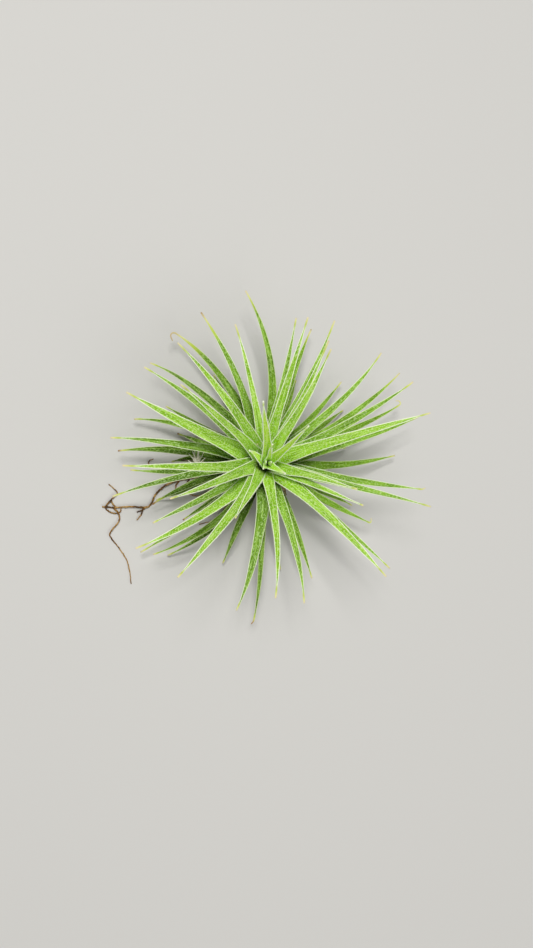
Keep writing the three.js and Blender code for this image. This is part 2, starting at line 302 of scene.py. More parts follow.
# %% How wide a blade is, how it wavers and how dull it is
TIP_WIDTH = 0.44  # mm, as are the next two
TIP_THICKNESS = 0.26
THREAD_WIDTH = 0.24
FOOT_FLARE = 0.6  # how much wider the blade is at the very foot, as a share of its width
FOOT_SHARE = 0.45  # of the leaf, over which the flare runs out
TAPER_POWER = 2.4  # the higher it is, the nearer to the tip the blade narrows
ANY_PHASE = (0, 6.3)  # radians
LIT_SIDE_TURN = 40  # degrees: the side lit brightest; spread leaves away from it get painted shade
DULL_LEANS = (50, 90)  # degrees: leans over which that painted shade sets in; leaves nearer upright are as bright all round
PAINTED_SHADE_BY_PLACE = 0.65  # share of a leaf's dullness that is painted shade by place; the rest of it is chance


def blade_width(s, leaf):
    foot = 1 + FOOT_FLARE * np.maximum(0, 1 - s / FOOT_SHARE)
    full = np.maximum(TIP_WIDTH, leaf.width * foot * (1 - s**TAPER_POWER))
    if leaf.thread:
        full[STATIONS:] = np.linspace(TIP_WIDTH, THREAD_WIDTH, THREAD_STATIONS)
    return full


def wander(s, rng, size, waves):
    """A slow seeded wobble that grows from nothing over the first third of a leaf."""
    return size * np.sin(s * rng.uniform(*waves) + rng.uniform(*ANY_PHASE)) * np.minimum(1, 3 * s)


def leaf_tone_and_shade(leaf, rng):
    """How dull a leaf is, from 0 to 1: chance tone plus painted shade, most on a spread leaf on the
    shaded side.
    """
    shaded = 0.5 - 0.5 * math.cos(math.radians(leaf.turn - LIT_SIDE_TURN))
    spread = np.interp(leaf.lean, DULL_LEANS, (0, 1))
    return (1 - PAINTED_SHADE_BY_PLACE) * rng.uniform(0, 1) + PAINTED_SHADE_BY_PLACE * shaded * spread


for turn, where in ((LIT_SIDE_TURN, "bright"), (LIT_SIDE_TURN + 180, "shaded")):
    dullness = leaf_tone_and_shade(Leaf(turn, 80, 40, 0, 2.5), np.random.default_rng(0))
    print("a spread leaf on the", where, "side is dull by", round(dullness, 2))

# %% Build one blade
# how far a leaf strays from its even form: its roll in radians, its middle line in mm and its width
# as a share, each with the fewest and the most radians of wave along the leaf
ROLL_SPREAD = 0.12
ROLL_WANDER = (0.06, (4, 9))
LINE_WANDER = (0.12, (5, 9))
WIDTH_WANDER = (0.025, (15, 25))
POINT = 0.12  # mm from the last ring to the very tip


def make_blade(tier, row, rng):
    """One closed blade: its mesh, what each point knows, and its middle line for the fringe."""
    leaf = Leaf(*row)
    points, s = middle_line(tier, leaf)
    ahead = unit(np.gradient(points, axis=0))
    across = unit(np.cross([0, 0, 1], ahead))
    upper = np.cross(ahead, across)
    roll = (rng.normal(0, ROLL_SPREAD) * s + wander(s, rng, *ROLL_WANDER))[:, None]
    across = np.cos(roll) * across + np.sin(roll) * upper
    upper = np.cross(ahead, across)
    points = points + wander(s, rng, *LINE_WANDER)[:, None] * across
    full = blade_width(s, leaf) * (1 + wander(s, rng, *WIDTH_WANDER))
    thick = tier["thick"] + (TIP_THICKNESS - tier["thick"]) * s
    angle = 2 * np.pi * np.arange(RING) / RING
    u, v = np.cos(angle), np.sin(angle)
    rise = 0.5 * thick[:, None] * v + CHANNEL * full[:, None] * u**2
    sideways = 0.5 * full[:, None] * u
    ring = points[:, None] + sideways[..., None] * across[:, None] + rise[..., None] * upper[:, None]
    verts = np.vstack([ring.reshape(-1, 3), points[:1], points[-1:] + POINT * ahead[-1:]])
    dry = np.clip(1 - (1 - s) / leaf.dry, 0, 1)
    # each list ends with the values of the two middle points that close the foot and the tip
    knows = {
        "along": np.append(np.repeat(s, RING), [0, 1]),  # share of the leaf
        "edge": np.append(0.5 * np.repeat(full, RING) - np.abs(sideways.ravel()), [1, 0.1]),  # mm in
        "upper": np.append(np.tile(np.clip(0.5 + 2 * v, 0, 1), len(s)), [0.5, 0.5]),  # 1 faces up
        "sideways": np.append(sideways.ravel(), [0, 0]),  # mm from the middle line
        "reach": np.append(np.repeat(s * leaf.length, RING), [0, leaf.length]),  # mm from the stem
        "dry": np.append(np.repeat(dry, RING), [0, 1]),
        "brown": leaf.brown * np.append(np.repeat(dry, RING), [0, 1]),
        # chance tone of the leaf plus painted shade by its place round the plant
        "tone": np.full(len(verts), leaf_tone_and_shade(leaf, rng)),
    }
    line = dict(points=points, ahead=ahead, across=across, upper=upper, full=full, s=s, long=leaf.length)
    return verts, ring_faces(len(s), RING), knows, line


sample = make_blade(TIERS["upper_leaves"], UPPER_LEAVES[2], np.random.default_rng(0))
print("a blade is", sample[3]["full"].max().round(1), "mm wide at its foot")

# %% Build the slim slice of stem that a tier grows from
SLICE_RING = 28
SLICE_LEVELS = 5
SLICE_TAPER = 0.14
ON_STEM = -1  # what the slice says instead of how far along a leaf it is


def turn_profile(profile, ring):
    """A closed round body from (radius, height) pairs, from the bottom up."""
    angle = 2 * np.pi * np.arange(ring) / ring
    rings = []
    for radius, height in profile:
        level = np.full(ring, float(height))
        rings.append(np.stack([radius * np.cos(angle), radius * np.sin(angle), level], axis=1))
    middles = [[[0, 0, profile[0][1]]], [[0, 0, profile[-1][1]]]]
    return np.vstack(rings + middles), ring_faces(len(profile), ring)


def make_slice(tier):
    """A slice says of itself what a blade's points say, so both can share a mesh and a finish."""
    bottom, top, radius = tier["slice"]
    levels = np.linspace(0, 1, SLICE_LEVELS)
    profile = [(radius * (1 - SLICE_TAPER * level), bottom + (top - bottom) * level) for level in levels]
    verts, faces = turn_profile(profile, SLICE_RING)
    nothing = np.zeros(len(verts))
    knows = {name: nothing for name in ("sideways", "dry", "brown")}
    knows.update(along=nothing + ON_STEM, edge=nothing + 1, upper=nothing + 0.5)
    knows.update(reach=verts[:, 2], tone=nothing + 0.5)
    return verts, faces, knows


print("a slice has", len(make_slice(TIERS["upper_leaves"])[1]), "faces")


# %% Turn points and faces into a piece that rides on the plant
def make_piece(name, parts, material, smooth=True):
    """Joins (verts in mm, faces, what each point knows) parts into one mesh object."""
    verts, faces, columns, offset = [], [], {}, 0
    for part_verts, part_faces, knows in parts:
        verts.append(part_verts)
        faces.extend(tuple(i + offset for i in face) for face in part_faces)
        offset += len(part_verts)
        for key, values in knows.items():
            columns.setdefault(key, []).append(values)
    mesh = bpy.data.meshes.new(name)
    mesh.from_pydata((np.vstack(verts) * MM).tolist(), [], faces)
    for key, values in columns.items():
        layer = mesh.attributes.new(key, "FLOAT", "POINT")
        layer.data.foreach_set("value", np.concatenate(values).astype(np.float32))
    mesh.polygons.foreach_set("use_smooth", [smooth] * len(mesh.polygons))
    mesh.materials.append(material)
    mesh.update()
    piece = bpy.data.objects.new(name, mesh)
    bpy.context.scene.collection.objects.link(piece)
    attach(piece, "root")
    print(f"{name}: {len(mesh.vertices)} points, {len(mesh.polygons)} faces")
    return piece


# %% [markdown]
# ## Colour and nodes
#
# Colours are written as the sRGB values that the eye picks, and one function turns them into the
# linear values that the renderer works with. Another one adds a node with its settings and links.
# A painter would lay colours over each other in coats, thin or patchy, and the finishes below do
# the same: each coat names what it follows, where it starts and is full, how strong it gets, and
# its colour. That reads more easily than a wide web of nodes, and gives the same picture.

# %% Helpers for materials
def linear(hex_colour):
    channels = [int(hex_colour[i : i + 2], 16) / 255 for i in (1, 3, 5)]
    return tuple(c / 12.92 if c <= 0.04045 else ((c + 0.055) / 1.055) ** 2.4 for c in channels) + (1.0,)


def add_node(tree, kind, inputs, out=0, **settings):
    """Adds a shader node with its settings and links, and gives back one of its outputs."""
    node = tree.nodes.new("ShaderNode" + kind)
    for name, value in settings.items():
        setattr(node, name, value)
    for socket, value in inputs.items():
        if isinstance(value, bpy.types.NodeSocket):
            tree.links.new(value, node.inputs[socket])
        else:
            node.inputs[socket].default_value = value
    return node.outputs[out]


def new_material(name, constants):
    """A material with one shader, whose constant values are set on its own sockets."""
    material = bpy.data.materials.new(name)
    material.use_nodes = True
    tree = material.node_tree
    shader = tree.nodes["Principled BSDF"]
    for socket, value in constants.items():
        shader.inputs[socket].default_value = value
    print(name, constants)
    return material, tree, shader


def lay_coats(tree, colour, coats):
    """Each coat: what it follows, where it starts, where it is full, how strong, its colour."""
    # a colour mix takes its share in socket 0 and its two colours in 6 and 7, and gives output 2
    for follows, start, full, strength, paint in coats:
        limits = {"Value": follows, "From Min": start, "From Max": full, "To Max": strength}
        cover = add_node(tree, "MapRange", limits, interpolation_type="SMOOTHSTEP")
        colour = add_node(tree, "Mix", {0: cover, 6: colour, 7: linear(paint)}, 2, data_type="RGBA")
    return colour


def texture_surface(tree, shader, roughness, height, strength, relief):
    """Roughness: what it follows, where it starts and is full, its least and most. Relief in mm."""
    limits = dict(zip(("Value", "From Min", "From Max", "To Min", "To Max"), roughness))
    tree.links.new(add_node(tree, "MapRange", limits), shader.inputs["Roughness"])
    bump = add_node(tree, "Bump", {"Height": height, "Strength": strength, "Distance": relief * MM})
    tree.links.new(bump, shader.inputs["Normal"])


print("half of full white is", round(linear("#808080")[0], 3), "in linear light")

# %% [markdown]
# ## The living leaf
#
# An air plant's leaf is a firm, waxy green blade whose skin drinks: tiny pale scales cover it,
# denser below and along the margins, and lend the green a frosted, silky look. Near the heart it is
# young and yellow-green. Down in the rosette its foot gets painted shade, dark as if little light
# reached it, and on the middle and lower tiers the colour near the stem is darker partly as painted
# shade too. At its tip it dries to yellow and cream. The spread leaves on one side of the plant get
# painted shade and are duller, as if turned away from the light. The coats follow all that. Sheen
# alone could fake the frost, but it whitens every grazing edge alike, so the scales are drawn as
# flecks. The skin's gloss is low, because scales scatter it, and a little light passes through the
# flesh.

# %% What a leaf's skin is made of
# mm across and along the blade; the real veins and the real scales, of about 0.15 mm, are too
# fine to show in the picture, so both are drawn coarser
STREAK = (0.26, 6.0)
FLECK = (0.24, 0.5)
CLOUD = 6.0  # mm from a darker patch of skin to a lighter one
PATTERN_SHIFT = 50.0  # takes each leaf to a place of its own in the patterns
VEIN_HEIGHT = 1.6  # times as high as the flecks
LEAF_RELIEF = 0.12  # mm from the lowest to the highest point of the skin
LEAF_CONSTANTS = {
    "IOR": 1.45,
    "Specular IOR Level": 0.15,
    "Subsurface Weight": 0.08,
    "Subsurface Radius": (0.5, 1.0, 0.1),
    "Subsurface Scale": 0.5 * MM,
}
RIPE_TIP = ("#bccc50", "#d8d88c", "#dccfa8")  # yellow, then straw, then cream at the very end
YOUNG_TIP = ("#d0f07c", "#ecf8bc", "#f8fce4")
BROWN_TIP = "#a07848"
# deep: painted shade on the foot of each leaf down in the rosette and on the stem
# slice, and dark: mm of the foot that it darkens; foot: colour near the stem, darker on
# the middle and lower tiers partly as painted shade, and blade: on the rest; shade and streak: between
# the veins and on them, shade also serving as painted shade on dull leaves; frost: the scales, and
# above and below: how much of each side they cover; margin: its colour, and wide: its width in mm
Skin = namedtuple("Skin", "deep dark foot blade shade streak frost above below margin wide tip")
LEAF_SKINS = {
    "heart_leaves": Skin(
        deep="#1e3002", dark=3.6, foot="#9cd000", blade="#b8e830", shade="#90c810", streak="#dcf684",
        frost="#ecf8b8", above=0.45, below=0.6, margin="#fcfef0", wide=0.26, tip=YOUNG_TIP,
    ),
    "upper_leaves": Skin(
        deep="#1e3404", dark=3.4, foot="#9cd018", blade="#94c628", shade="#649410", streak="#c2e678",
        frost="#e0f0b2", above=0.5, below=0.6, margin="#fafce4", wide=0.22, tip=RIPE_TIP,
    ),
    "middle_leaves": Skin(
        deep="#142404", dark=10, foot="#5a840c", blade="#80ae26", shade="#4a6e0e", streak="#a4ca5a",
        frost="#cae49c", above=0.5, below=0.6, margin="#f0f7d2", wide=0.18, tip=RIPE_TIP,
    ),
    "lower_leaves": Skin(
        deep="#101c02", dark=12, foot="#466808", blade="#7caa22", shade="#3e5e0a", streak="#9ac44e",
        frost="#bcd884", above=0.45, below=0.6, margin="#e0ecb0", wide=0.15, tip=RIPE_TIP,
    ),
}
print("skins:", ", ".join(LEAF_SKINS))


# %% Leaf finish
def leaf_finish(name, skin):
    """The skin of one tier: patterns laid out on each leaf, then the coats that follow them."""
    material, tree, shader = new_material(name, LEAF_CONSTANTS)
    knows = {}
    for key in ("along", "edge", "upper", "sideways", "reach", "dry", "brown", "tone"):
        knows[key] = add_node(tree, "Attribute", {}, "Fac", attribute_name=key)
    own_place = add_node(tree, "Math", {0: knows["tone"], 1: PATTERN_SHIFT}, operation="MULTIPLY")
    place = {"X": knows["sideways"], "Y": knows["reach"], "Z": own_place}
    on_leaf = add_node(tree, "CombineXYZ", place)
    patterns = []
    for across, along in (STREAK, FLECK):
        size = {0: on_leaf, 1: (across, along, 1)}
        scaled = add_node(tree, "VectorMath", size, operation="DIVIDE")
        patterns.append(add_node(tree, "TexNoise", {"Vector": scaled, "Scale": 1.0, "Detail": 2.0}))
    veins, flecks = patterns
    here = add_node(tree, "TexCoord", {}, "Object")
    clouds = add_node(tree, "TexNoise", {"Vector": here, "Scale": 1 / (CLOUD * MM), "Detail": 2.0})
    frost = {"Value": knows["upper"], "To Min": skin.below, "To Max": skin.above}
    frost_cover = add_node(tree, "MapRange", frost)
    ripe, straw, end = skin.tip

    colour = lay_coats(
        tree,
        linear(skin.blade),
        [
            (clouds, 0.45, 0.70, 0.5, skin.shade),
            # chance tone, plus painted shade that dulls the spread leaves on one side
            (knows["tone"], 0.25, 0.9, 0.75, skin.shade),
            # the foot's own young colour near the stem; on the middle and lower tiers it is darker partly
            # as painted shade
            (knows["along"], 0.42, 0.15, 0.8, skin.foot),
            (veins, 0.50, 0.40, 0.5, skin.shade),
            (veins, 0.50, 0.60, 0.5, skin.streak),
            (flecks, 0.52, 0.60, frost_cover, skin.frost),
            (knows["edge"], skin.wide, 0.45 * skin.wide, 0.9, skin.margin),
            # painted shade: the foot of each leaf is darkened down in the rosette, where little light
            # reaches
            (knows["reach"], skin.dark, 0.3 * skin.dark, 0.95, skin.deep),
            (knows["dry"], 0.0, 0.5, 0.9, ripe),
            (knows["dry"], 0.4, 0.8, 1.0, straw),
            (knows["dry"], 0.75, 0.98, 0.9, end),
            (knows["brown"], 0.55, 0.95, 1.0, BROWN_TIP),
            # painted shade: the stem slice is painted dark, so the gaps between the leaf feet look shaded
            (knows["along"], -0.1, ON_STEM, 1.0, skin.deep),
        ],
    )
    tree.links.new(colour, shader.inputs["Base Color"])
    height = add_node(tree, "Math", {0: veins, 1: VEIN_HEIGHT, 2: flecks}, operation="MULTIPLY_ADD")
    texture_surface(tree, shader, (flecks, 0.35, 0.65, 0.5, 0.75), height, 0.6, LEAF_RELIEF)
    return material


# %% Grow the green tiers
GREEN_TIERS = {
    "heart_leaves": ("heart_rosette", "heart_leaf", HEART_LEAVES),
    "upper_leaves": ("upper_rosette", "upper_leaf", UPPER_LEAVES),
    "middle_leaves": ("middle_rosette", "middle_leaf", MIDDLE_LEAVES),
    "lower_leaves": ("lower_rosette", "lower_leaf", LOWER_LEAVES + UNDER_LEAVES),
}
rng = np.random.default_rng(7)
margin_lines = {}
for node, (name, slot, rows) in GREEN_TIERS.items():
    skin = leaf_finish("scaly_" + slot + "_skin", LEAF_SKINS[node])
    blades = [make_blade(TIERS[node], row, rng) for row in rows]
    parts = [make_slice(TIERS[node])] + [blade[:3] for blade in blades]
    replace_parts(make_piece(name, parts, skin), node)
    margin_lines[node] = [blade[3] for blade in blades]

# %% [markdown]
# ## The white fringe
#
# On the margins the scales stand out as a fringe of short white hairs, which draws a pale line
# round every leaf. Each hair is a tiny three-sided spike. Blender's own hair would render well,
# but a mesh of spikes stays real in every tool. The hairs are dead, dry cells: nearly white, matt,
# and a little greener in specks, where the leaf shows through.

# %% Spikes
ASKEW = (0.31, 0.57, 0.76)  # a direction that no hair happens to point in


def make_spikes(roots, heads, radius):
    """Closed three-sided spikes from roots to heads."""
    ahead = unit(heads - roots)
    side = unit(np.cross(ahead, ASKEW))
    other = np.cross(ahead, side)
    corners = []
    for k in range(3):
        angle = 2 * math.pi * k / 3
        corners.append(roots + radius[:, None] * (math.cos(angle) * side + math.sin(angle) * other))
    verts = np.stack([*corners, heads], axis=1).reshape(-1, 3)
    first = 4 * np.arange(len(roots))[:, None]
    sides = [first + np.array(corner) for corner in ((2, 1, 0), (0, 1, 3), (1, 2, 3), (2, 0, 3))]
    return verts, np.concatenate(sides).tolist(), {}


print("a hair has", len(make_spikes(np.zeros((1, 3)), np.ones((1, 3)), np.ones(1))[1]), "faces")

# %% Comb the hairs along every margin
HAIRS_PER_MM = {"heart_leaves": 5, "upper_leaves": 5, "middle_leaves": 3, "lower_leaves": 2}
HAIR_LENGTH = (0.12, 0.26)  # mm, as are the next two
HAIR_RADIUS = (0.018, 0.030)
HAIR_SUNK = 0.04  # how deep its root lies in the blade
HAIR_AHEAD = (0.2, 1.4)  # how far a hair leans to the tip, for each part that it leans outwards
HAIR_RISE = (0.25, 0.3)  # how far it leans up on average, and the spread of that
FULL_HAIR_WIDTH = 2.0  # mm of blade; where it is narrower, the hairs are shorter
LEAST_HAIR = 0.4  # share of the full length
FRINGED_SHARE = (0.04, 0.92)  # of the leaf
SHORTEST_FRINGED = 10  # mm; the buds of the heart are still bare


def margin_hairs(line, per_mm, rng):
    """Roots and heads of the hairs along both margins of one leaf."""
    count = int(line["long"] * per_mm)
    roots, heads = [], []
    for side in (-1, 1):
        t = rng.uniform(*FRINGED_SHARE, count)
        at = {}
        for name in ("points", "across", "upper", "ahead"):
            at[name] = np.stack([np.interp(t, line["s"], column) for column in line[name].T], axis=1)
        wide = np.interp(t, line["s"], line["full"])[:, None]
        place = at["points"] + side * 0.5 * wide * at["across"] + CHANNEL * wide * at["upper"]
        lean = side * at["across"] + rng.uniform(*HAIR_AHEAD, (count, 1)) * at["ahead"]
        lean = unit(lean + rng.normal(*HAIR_RISE, (count, 1)) * at["upper"])
        long = rng.uniform(*HAIR_LENGTH, (count, 1)) * np.clip(wide / FULL_HAIR_WIDTH, LEAST_HAIR, 1)
        roots.append(place - HAIR_SUNK * lean)
        heads.append(place + long * lean)
    return np.vstack(roots), np.vstack(heads)


rng = np.random.default_rng(11)
combed = []
for node, lines in margin_lines.items():
    fringed = [line for line in lines if line["long"] >= SHORTEST_FRINGED]
    combed += [margin_hairs(line, HAIRS_PER_MM[node], rng) for line in fringed]
roots, heads = (np.vstack(ends) for ends in zip(*combed))
spikes = make_spikes(roots, heads, rng.uniform(*HAIR_RADIUS, len(roots)))
print("hairs:", len(roots))

# %% Hair finish
HAIR_SPECK = 0.4  # mm, as wide as a few hairs: each hair is too thin to show specks of its own
HAIR_RELIEF = 0.02  # mm
hair, tree, shader = new_material("leaf_scale_hair", {"IOR": 1.5, "Specular IOR Level": 0.3})
here = add_node(tree, "TexCoord", {}, "Object")
specks = add_node(tree, "TexNoise", {"Vector": here, "Scale": 1 / (HAIR_SPECK * MM), "Detail": 2.0})
white = lay_coats(tree, linear("#f0f9d6"), [(specks, 0.50, 0.66, 0.5, "#dceebc")])
tree.links.new(white, shader.inputs["Base Color"])
texture_surface(tree, shader, (specks, 0.3, 0.7, 0.5, 0.7), specks, 0.3, HAIR_RELIEF)
make_piece("margin_fringe", [spikes], hair, smooth=False)

# %% [markdown]
# ## Dry leaves
#
# The oldest leaves dry to thin tan paper round the foot of the plant. They are blades as the others
# are, so the same maker serves and only the finish is new: a dead leaf has no gloss, it pales
# towards its tip, some leaves turn reddish and others grey, and rot mottles them all.

# %% Dry leaf finish
GRAIN = 1.1  # mm from one spot to the next, coarser than the real 0.5, which wouldn't show
PAPER_RELIEF = 0.2  # mm
paper, tree, shader = new_material("dry_leaf_paper", {"IOR": 1.45, "Specular IOR Level": 0.2})
here = add_node(tree, "TexCoord", {}, "Object")
grain = add_node(tree, "TexNoise", {"Vector": here, "Scale": 1 / (GRAIN * MM), "Detail": 4.0})
along = add_node(tree, "Attribute", {}, "Fac", attribute_name="along")
tone = add_node(tree, "Attribute", {}, "Fac", attribute_name="tone")
tan = lay_coats(
    tree,
    linear("#6e5030"),
    [
        (along, 0.2, 0.9, 0.8, "#bda678"),
        (tone, 0.35, 0.05, 0.8, "#6a3a22"),
        (tone, 0.60, 0.95, 0.8, "#8a8288"),
        (grain, 0.45, 0.62, 0.8, "#3a2818"),
        (grain, 0.48, 0.36, 0.6, "#d8c8a0"),
    ],
)
tree.links.new(tan, shader.inputs["Base Color"])
texture_surface(tree, shader, (grain, 0.3, 0.7, 0.7, 0.95), grain, 0.7, PAPER_RELIEF)

# %% Dry leaves, and the narrow scraps that show between the green ones at the left
DRY_SCRAPS = [
    (173, 87, 13, 4, 1.8),
    (177, 89, 17, -3, 1.6),
    (169, 88, 10, 6, 1.8),
    (181, 91, 18, 2, 1.4),
    (166, 86, 12, -5, 1.2),
    (175, 84, 9, 3, 1.6),
]
rng = np.random.default_rng(5)
dry_tier = TIERS["dry_leaves"]
dry_blades = [make_blade(dry_tier, row, rng) for row in DRY_LEAVES + DRY_SCRAPS]
dry_parts = [make_slice(dry_tier)] + [blade[:3] for blade in dry_blades]
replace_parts(make_piece("dry_leaf_skirt", dry_parts, paper), "dry_leaves")

# %% [markdown]
# ## A frayed end
#
# One old leaf at the left has rotted down to its fibres, which stand up as a cream tuft. A fibre is
# a thin wire that wavers as it runs, and the same wire serves for the roots further on. A closed
# tube of few sides is enough, because it is thinner than a point of the picture. Bare leaf fibre
# is bleached and matt, with tan stains where rot has stayed.

# %% A wire
def make_wire(points, radius, ring):
    """A closed tube along points, with a radius for each of them."""
    ahead = unit(np.gradient(points, axis=0))
    side = unit(np.cross([0, 0, 1], ahead))
    upper = np.cross(ahead, side)
    angle = 2 * np.pi * np.arange(ring) / ring
    out = np.cos(angle)[None, :, None] * side[:, None] + np.sin(angle)[None, :, None] * upper[:, None]
    verts = (points[:, None] + radius[:, None, None] * out).reshape(-1, 3)
    return np.vstack([verts, points[:1], points[-1:]]), ring_faces(len(points), ring), {}


FIBRE_STATIONS = 11
FIBRE_RING = 5
print("a fibre has", len(ring_faces(FIBRE_STATIONS, FIBRE_RING)), "faces")

# %% One fibre of the tuft
FIBRE_LENGTH = (1.8, 5.2)  # mm past the neck
FIBRE_RADIUS = (0.16, 0.08)  # mm at the foot and at the head, thicker than life so that it shows
FIBRE_APART = (0.2, 0.15, 0.2)  # mm along X, Y and Z
FIBRE_WANDER = 0.25  # mm at the head
FIBRE_WAVES = (4, 9)  # radians along a fibre
TUFT_FOOT = np.array((-16.0, -0.6, 4.8))
TUFT_NECK = np.array((-16.8, -0.9, 12.8))  # where the fibres part
TUFT_TURN = (94, 22)  # degrees, and their spread
TUFT_LEAN = (60, 12)


def make_fibre(rng):
    """A wire from the dry leaf up to the neck, and from there off in a direction of its own."""
    share = np.linspace(0, 1, FIBRE_STATIONS)[:, None]
    heading = direction(rng.normal(*TUFT_LEAN), rng.normal(*TUFT_TURN))
    apart = rng.normal(0, FIBRE_APART)
    head = TUFT_NECK + apart + rng.uniform(*FIBRE_LENGTH) * heading
    bend = TUFT_NECK + apart
    points = (1 - share) ** 2 * (TUFT_FOOT + apart) + 2 * share * (1 - share) * bend + share**2 * head
    phase = share * rng.uniform(*FIBRE_WAVES) + rng.uniform(*ANY_PHASE, 3)
    points += FIBRE_WANDER * share * np.sin(phase)
    return make_wire(points, np.linspace(*FIBRE_RADIUS, FIBRE_STATIONS), FIBRE_RING)


print("the fibres part", TUFT_NECK[2], "mm up")

# %% Fibre finish, and the tuft
FIBRE_COUNT = 30
FIBRE_RELIEF = 0.04  # mm
fibre, tree, shader = new_material("frayed_leaf_fibre", {"IOR": 1.45, "Specular IOR Level": 0.2})
here = add_node(tree, "TexCoord", {}, "Object")
stain = add_node(tree, "TexNoise", {"Vector": here, "Scale": 1 / (GRAIN * MM), "Detail": 2.0})
cream = lay_coats(tree, linear("#fdf8ea"), [(stain, 0.56, 0.66, 0.6, "#c4aa84")])
tree.links.new(cream, shader.inputs["Base Color"])
texture_surface(tree, shader, (stain, 0.3, 0.7, 0.7, 0.9), stain, 0.4, FIBRE_RELIEF)
fibres = [make_fibre(rng) for _ in range(FIBRE_COUNT)]
make_piece("frayed_tuft", fibres, fibre)

# %% [markdown]
# ## Stem and roots
#
# The stem is a woody stub. The roots are wires that would hold the plant to bark: they branch,
# kink and trail over whatever it rests on. A root could be a curve with a bevel, but its thickness
# wanders, because an even tube looks like a cable, and the wire from above already takes a radius
# for each point. Each route is a short list of places that it passes, because no rule would give
# these bends. The bark is thin and dry: brown in pale and dark stretches, with a fine crust that
# leaves no gloss.

# %% Routes of the roots: x, y and the height of the middle of the root
LONG_ROOT = [
    (-2, -1, 1.8), (-7, -2.6, 1.2), (-13, -3.4, 0.7), (-19, -4.2, 0.6), (-23.6, -5.6, 0.9),
    (-26.6, -8.2, 0.6), (-28.6, -11.6, 0.6), (-33.3, -11.6, 0.9), (-38.2, -11.8, 0.6), (-41, -11.6, 0.6),
]
FORKED_ROOT = [
    (-38.4, -11.7, 0.6), (-36.7, -13.4, 0.6), (-36.6, -15.6, 0.6), (-39, -19, 0.8),
    (-36.8, -22.4, 0.5), (-34.2, -26.8, 0.5), (-33.3, -32.5, 0.5),
]
CURLED_ROOT = [(-37.6, -11.6, 0.6), (-38.6, -9.8, 0.7), (-37, -7.8, 0.8), (-39.3, -5.6, 0.5)]
BENT_ROOT = [(-1.4, -2.4, 1.6), (-5, -8, 0.9), (-8, -12.8, 0.6), (-10.4, -15.4, 0.6), (-14.8, -16.6, 0.5)]
SIDE_ROOT = [(-2.2, -1.8, 1.4), (-7, -4.8, 0.9), (-12.2, -7.6, 0.5), (-15, -8.8, 0.5), (-18, -8.2, 0.5)]
BACK_ROOT = [
    (-2.5, 0, 1.8), (-9, -0.3, 0.9), (-17, -0.6, 0.6), (-25, -0.7, 0.6), (-28.4, -0.2, 0.6),
    (-28.4, 0.8, 0.7), (-27.3, 1.3, 0.9),
]
LOOPED_ROOT = [
    (-38.6, -9.8, 0.7), (-39.8, -11.1, 0.6), (-40.1, -12, 0.5), (-39.1, -12.9, 0.5), (-37.7, -13.4, 0.5),
    (-36.2, -13, 0.5), (-36, -11.8, 0.5),
]
ROOTLETS = [
    [(-20, -4.3, 0.6), (-21.2, -6, 0.5), (-21, -8, 0.5)],
    [(-17.4, -4, 0.6), (-18.2, -5.4, 0.5), (-18.3, -6.8, 0.5)],
    [(-29, -11.6, 0.6), (-30.4, -12.6, 0.5), (-31.8, -13.1, 0.5)],
    [(-30.2, -12.4, 0.5), (-30.6, -13.8, 0.5), (-31.8, -15.3, 0.5)],
]


def smooth_route(route, per_span=10):
    """Points on a smooth curve through the route's points."""
    route = [np.array(point, float) for point in route]
    route = [2 * route[0] - route[1], *route, 2 * route[-1] - route[-2]]
    points = []
    for a, b, c, d in zip(route, route[1:], route[2:], route[3:]):
        for t in np.arange(per_span) / per_span:
            bend = (2 * a - 5 * b + 4 * c - d) * t**2 + (3 * b - a - 3 * c + d) * t**3
            points.append(0.5 * (2 * b + (c - a) * t + bend))
    return np.array(points + [route[-2]])


spans = np.diff(smooth_route(LONG_ROOT), axis=0)
print("the longest root is", round(float(np.linalg.norm(spans, axis=1).sum())), "mm long")

# %% Grow the roots
ROOT_RING = 8
ROOT_TAPER = (1.1, 0.6)  # shares of the radius at its two ends
ROOT_SWELL = (0.8, 1.15)  # and by chance, from point to point
ROOT_KINK = 0.05  # mm
THICK_ROOT = 0.32  # radii in mm
THIN_ROOT = 0.22
HIDDEN_ROOT_COUNT = 4
HIDDEN_ROOT_SPANS = 4
HIDDEN_ROOT = dict(
    first_turn=150,  # degrees
    turn_step=-62,
    start=2,  # mm from the middle of the stem
    length=16,
    sway=2.2,  # mm to each side
    wave=1.4,  # radians from one point of its route to the next
    heights=(1.5, 0.5),  # mm, at the stem and at the far end
)


def make_root(route, radius, rng):
    """A wire along a route, with small kinks and an uneven thickness."""
    points = smooth_route(route)
    count = len(points)
    points[1:-1, :2] += rng.normal(0, ROOT_KINK, (count - 2, 2))
    wide = radius * np.linspace(*ROOT_TAPER, count) * rng.uniform(*ROOT_SWELL, count)
    return make_wire(points, wide, ROOT_RING)


def hidden_root(index, rng):
    """A short root under the leaves on the other sides, which sways as it runs down."""
    own = HIDDEN_ROOT
    turn = own["first_turn"] + own["turn_step"] * index
    route = []
    for step in range(HIDDEN_ROOT_SPANS + 1):
        share = step / HIDDEN_ROOT_SPANS
        point = direction(90, turn) * (own["start"] + own["length"] * share)
        point += direction(90, turn + 90) * own["sway"] * math.sin(step * own["wave"] + index)
        point[2] = np.interp(share, (0, 1), own["heights"])
        route.append(point)
    return make_root(route, THIN_ROOT, rng)


rng = np.random.default_rng(3)
root_parts = [make_root(LONG_ROOT, THICK_ROOT, rng)]
for route in (FORKED_ROOT, CURLED_ROOT, BENT_ROOT, SIDE_ROOT, BACK_ROOT, LOOPED_ROOT, *ROOTLETS):
    root_parts.append(make_root(route, THIN_ROOT, rng))
root_parts += [hidden_root(index, rng) for index in range(HIDDEN_ROOT_COUNT)]
print("roots:", len(root_parts))

